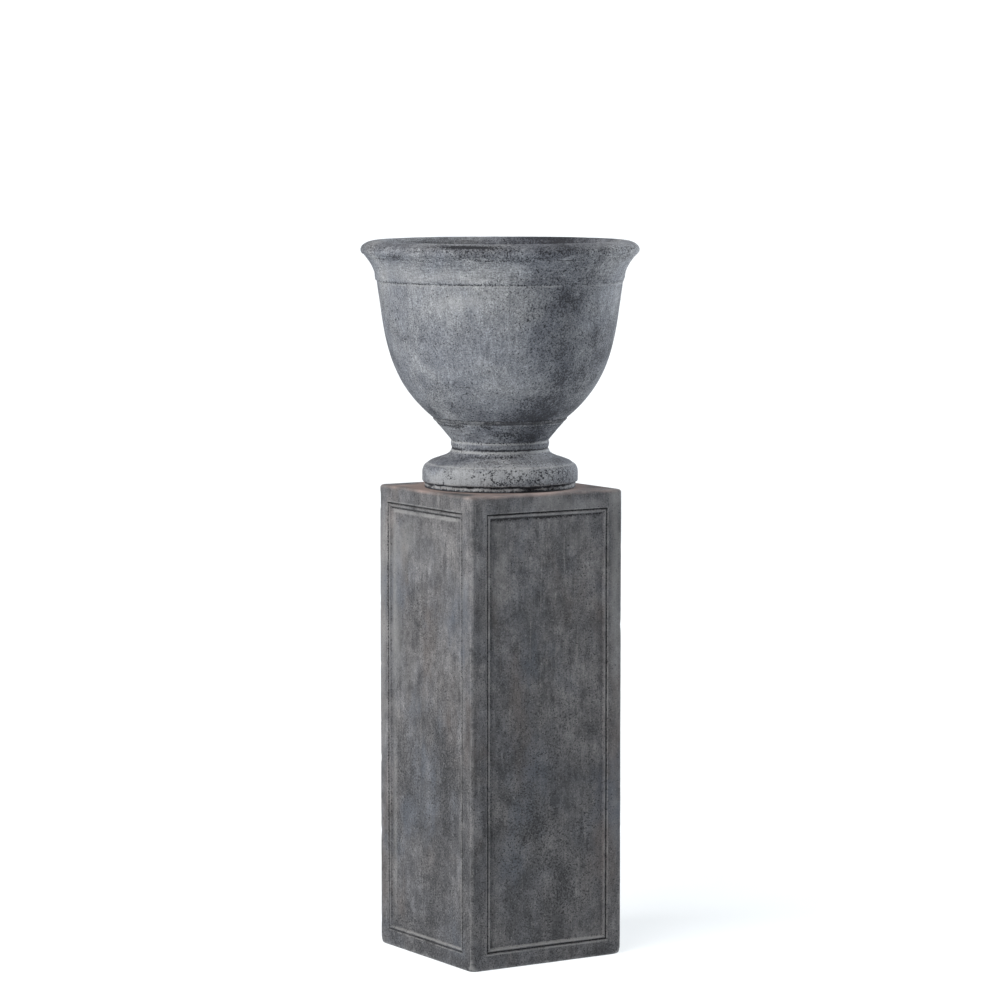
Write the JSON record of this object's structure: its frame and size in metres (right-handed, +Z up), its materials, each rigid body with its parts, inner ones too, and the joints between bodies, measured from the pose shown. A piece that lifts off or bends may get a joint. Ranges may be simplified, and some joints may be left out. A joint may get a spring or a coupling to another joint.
{
  "type": "garden urn on pedestal",
  "caption": "Wide footed garden urn with a rolled lip, standing on a tall square pedestal with framed panels; it lifts off.",
  "frame": {"origin": "centre of the pedestal's underside, on the ground", "axes": "+Z up along the pedestal's and the urn's common axis; the pedestal's faces look along X and Y, and the front is the -Y face"},
  "size_m": [0.4799, 0.48, 1.2326],
  "materials": {
    "urn_stone": "rough cast, blue-grey, pitted and stained",
    "pedestal_stone": "rough cast, dark grey, mottled, with brown and blue tints",
    "mortar": "dark bedding mortar",
    "drain_brass": "dull weathered brass",
    "seal_rubber": "matt black rubber",
    "clamp_steel": "zinc-plated steel, dulled"
  },
  "bodies": {
    "pedestal": {"pedestal_shell": "pedestal_stone"},
    "urn": {"foot": "urn_stone", "bowl": "urn_stone", "bedding_joint": "mortar", "drain_tube": "drain_brass", "drain_collar": "drain_brass", "collar_seal": "seal_rubber", "clamp_seal": "seal_rubber", "clamp_washer": "clamp_steel", "clamp_nut": "clamp_steel"}
  },
  "joints": [
    {"name": "urn_lift", "type": "slide", "parent": "pedestal", "child": "urn", "axis": [0, 0, 1], "range_m": [0, 0.12]}
  ]
}
